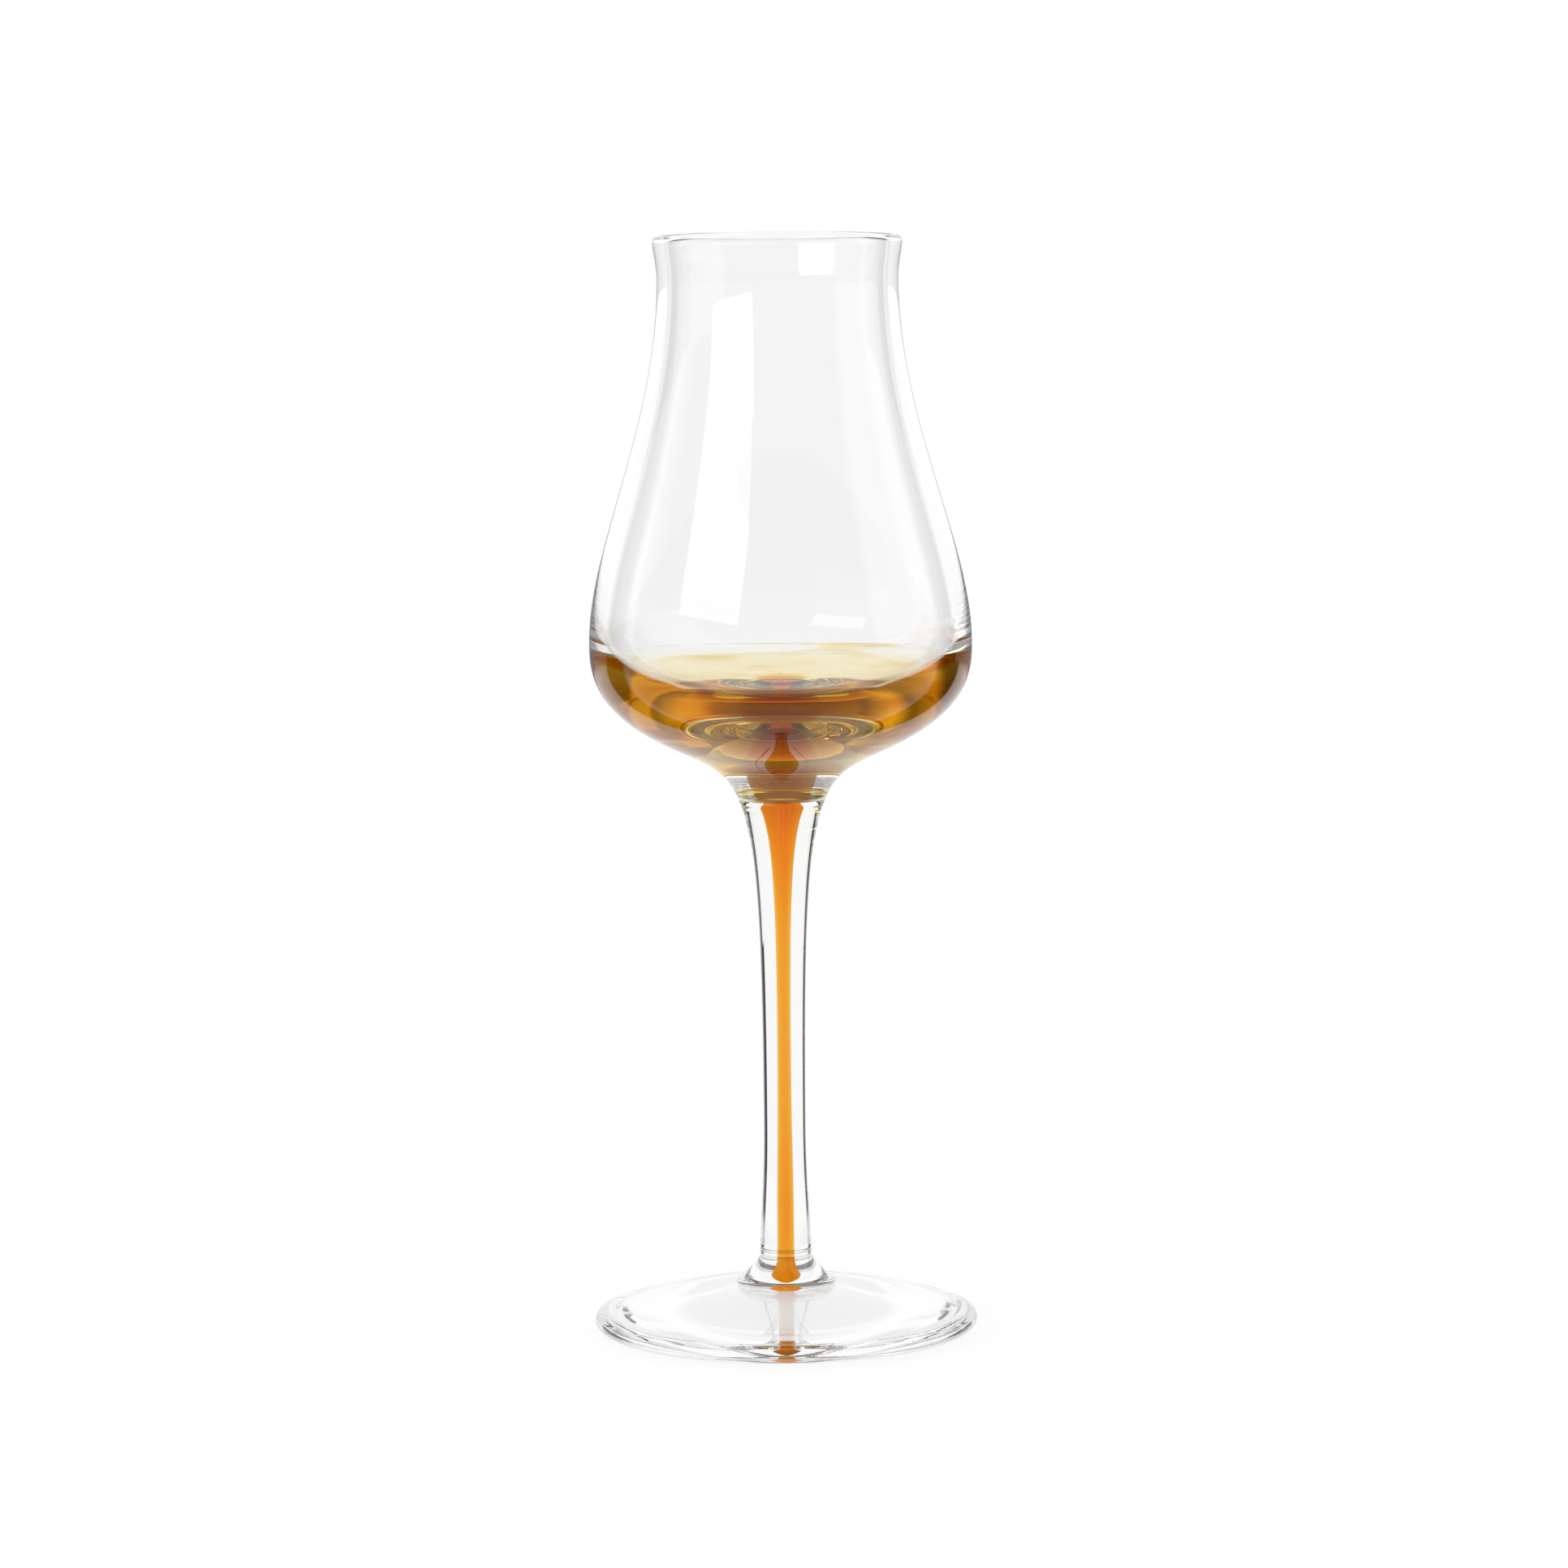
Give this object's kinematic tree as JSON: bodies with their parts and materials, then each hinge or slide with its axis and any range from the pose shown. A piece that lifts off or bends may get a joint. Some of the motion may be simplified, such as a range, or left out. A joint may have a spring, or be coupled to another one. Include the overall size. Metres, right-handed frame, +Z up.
{
  "type": "stemmed spirits glass",
  "caption": "Stemmed tulip glass for nosing and sipping spirits: blown bowl with a narrow flared mouth, amber-lined base running as a thread down the drawn stem, and a spun disc foot.",
  "frame": {"origin": "middle of the foot's standing ring, on the table", "axes": "+Z up along the axis of the glass; the glass is round, so +X and +Y are free, and the picture looks along +Y"},
  "size_m": [0.0698, 0.0698, 0.2],
  "materials": {
    "clear_glass": "clear fire-polished blown glass",
    "amber_glass": "transparent amber glass",
    "orange_glass": "dense orange-amber glass, nearly opaque"
  },
  "bodies": {
    "root": {"bowl": "clear_glass", "amber_base": "amber_glass", "amber_thread": "orange_glass", "stem": "clear_glass", "foot_knop": "clear_glass", "foot": "clear_glass"}
  },
  "joints": []
}
